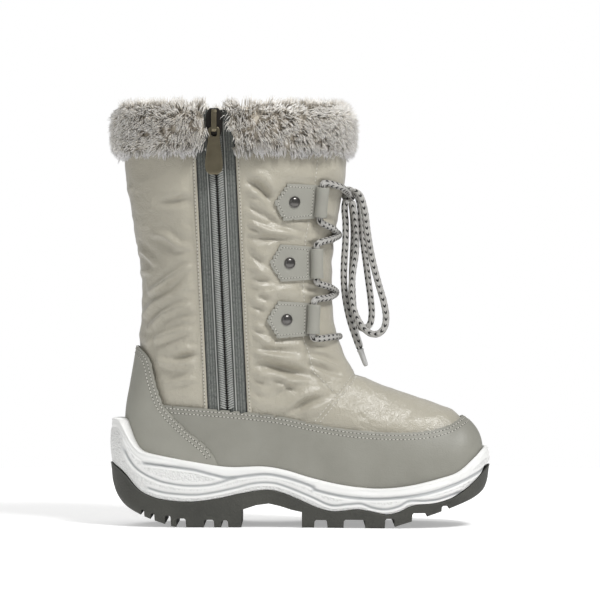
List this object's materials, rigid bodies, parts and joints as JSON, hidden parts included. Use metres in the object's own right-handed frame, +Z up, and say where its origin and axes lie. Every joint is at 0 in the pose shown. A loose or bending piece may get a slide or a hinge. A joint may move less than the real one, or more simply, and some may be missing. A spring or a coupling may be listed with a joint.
{
  "type": "snow boot",
  "caption": "Left snow boot: padded textile shaft with a side zip, fur collar, crossed lace on leather tabs, leather rand and cupped lugged sole.",
  "frame": {"origin": "middle of the sole's length, on the floor, under the middle of the collar's width", "axes": "+X to the toe, +Y to the outer side of a left foot, +Z up"},
  "size_m": [0.272, 0.119, 0.3035],
  "materials": {
    "rubber": "matte dark grey rubber",
    "cup_sole": "moulded white foam with a fine pebble",
    "felt": "plush felt",
    "nylon": "padded nylon with a soft sheen",
    "leather": "smooth grey coated leather",
    "fur": "faux fur",
    "zip_tape": "woven tape",
    "zip_coil": "nylon coil",
    "bronze": "antique bronze plate",
    "gunmetal": "gunmetal plate",
    "lace": "round braid with dark flecks",
    "aglet": "clear grey film"
  },
  "bodies": {
    "boot": {"outsole": "rubber", "midsole": "cup_sole", "insole": "felt", "upper": "nylon", "rand": "leather", "heel_counter": "leather", "fur_collar": "fur", "zip_tape_rear": "zip_tape", "zip_tape_front": "zip_tape", "zip_coil_rear": "zip_coil", "zip_coil_front": "zip_coil", "zip_slider": "bronze", "lace_tab_inner_1": "leather", "rivet_inner_1": "gunmetal", "lace_tab_inner_2": "leather", "rivet_inner_2": "gunmetal", "lace_tab_inner_3": "leather", "rivet_inner_3": "gunmetal", "lace_tab_outer_1": "leather", "rivet_outer_1": "gunmetal", "lace_tab_outer_2": "leather", "rivet_outer_2": "gunmetal", "lace_tab_outer_3": "leather", "rivet_outer_3": "gunmetal", "lace": "lace", "lace_knot": "lace", "lace_loop_inner": "lace", "lace_loop_outer": "lace", "lace_end_inner": "lace", "lace_end_outer": "lace", "aglet_inner": "aglet", "aglet_outer": "aglet"},
    "zip_pull": {"zip_pull": "bronze"}
  },
  "joints": [
    {"name": "zip_pull_hinge", "type": "hinge", "parent": "boot", "child": "zip_pull", "pos_m": [-0.0604, -0.0543, 0.2828], "axis": [-1, 0, 0], "range_deg": [0, 140]}
  ]
}
